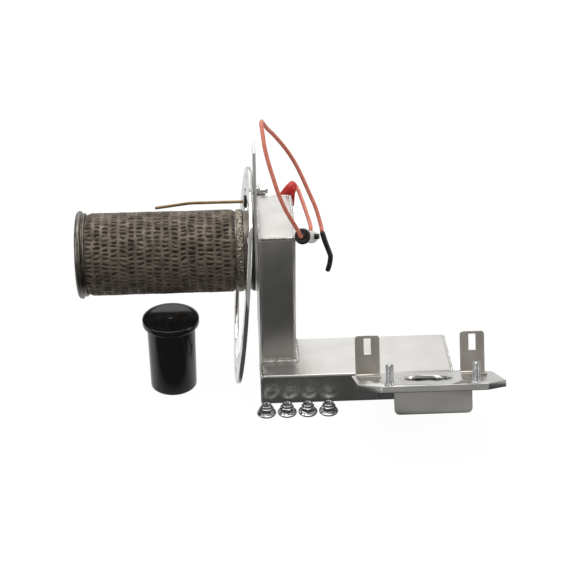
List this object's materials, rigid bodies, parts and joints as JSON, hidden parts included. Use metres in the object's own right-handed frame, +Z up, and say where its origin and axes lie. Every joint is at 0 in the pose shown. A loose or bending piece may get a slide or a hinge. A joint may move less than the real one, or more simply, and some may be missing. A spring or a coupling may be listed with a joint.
{
  "type": "gas burner assembly with ignition electrode",
  "caption": "Cylindrical knitted-wire premix gas burner on a welded steel gas box and duct, with a spark electrode, its red silicone lead, a leaning retaining ring, spare flange nuts and a pot.",
  "frame": {"origin": "centre of the supply duct's underside, on the bench", "axes": "+X from the burner tube towards the blower plate, -X the way the tube points; +Y to the back; +Z up"},
  "size_m": [0.2602, 0.1818, 0.1814],
  "materials": {
    "sleeve_wire": "knitted fine metal wire, dull grey-brown",
    "core_steel": "plain rolled steel",
    "cap_steel": "dark heat-stained steel",
    "band_wire": "crinkled, speckled",
    "box_steel": "mill-finish stainless sheet",
    "black_gasket": "matt black",
    "polished_steel": "polished stainless",
    "plate_steel": "flat ground stainless",
    "weld": "rippled, bright weld metal",
    "pan_steel": "drawn sheet, satin",
    "zinc": "bright zinc plate",
    "tab_steel": "bent sheet, satin",
    "spark_alloy": "brown heat-stained alloy wire",
    "ceramic": "glazed white ceramic",
    "red_silicone": "bright red, satin",
    "red_lead": "salmon red silicone sheath",
    "white_nylon": "white glass sleeve",
    "black_rubber": "satin black",
    "shrink": "black shrink tube",
    "contact_brass": "bare",
    "black_gloss": "glossy black"
  },
  "bodies": {
    "assembly": {"knit_sleeve": "sleeve_wire", "core_tube": "core_steel", "distributor_disc": "core_steel", "end_cap": "cap_steel", "clamp_band": "band_wire", "neck_collar": "box_steel", "neck_gasket": "black_gasket", "mounting_plate": "plate_steel", "mixing_box": "box_steel", "box_cap": "box_steel", "box_floor": "box_steel", "box_cap_weld": "weld", "box_foot_weld": "weld", "supply_duct": "box_steel", "duct_left_cap": "box_steel", "duct_right_cap": "box_steel", "outlet_frame": "box_steel", "transition_pan": "pan_steel", "blower_plate": "plate_steel", "blower_studs": "zinc", "left_tab_bracket": "tab_steel", "right_tab_bracket": "tab_steel", "spark_rod": "spark_alloy", "insulator": "ceramic", "insulator_washer": "black_gasket", "electrode_clip": "plate_steel", "clip_stud": "zinc", "clip_nut": "zinc", "terminal_pin": "zinc", "plug_boot": "red_silicone", "short_lead": "red_lead", "connector_sleeve": "white_nylon", "connector_front_boot": "black_rubber", "connector_side_plug": "black_rubber", "long_lead": "red_lead", "lead_end_sleeve": "shrink", "lead_end_pin": "contact_brass"},
    "ring": {"retaining_ring": "polished_steel"},
    "nuts": {"flange_nuts": "zinc"},
    "canister": {"canister_body": "black_gloss"},
    "lid": {"canister_lid": "black_gloss"}
  },
  "joints": [
    {"name": "ring_tip", "type": "hinge", "parent": "assembly", "child": "ring", "pos_m": [-0.07705, 0.024, 0.00041], "axis": [0, -1, 0], "range_deg": [0, 12]},
    {"name": "nuts_lift", "type": "slide", "parent": "assembly", "child": "nuts", "axis": [0, 0, 1], "range_m": [0, 0.02]},
    {"name": "canister_slide", "type": "slide", "parent": "assembly", "child": "canister", "axis": [0, -1, 0], "range_m": [0, 0.06]},
    {"name": "lid_lift", "type": "slide", "parent": "canister", "child": "lid", "axis": [0, 0, 1], "range_m": [0, 0.008]}
  ]
}
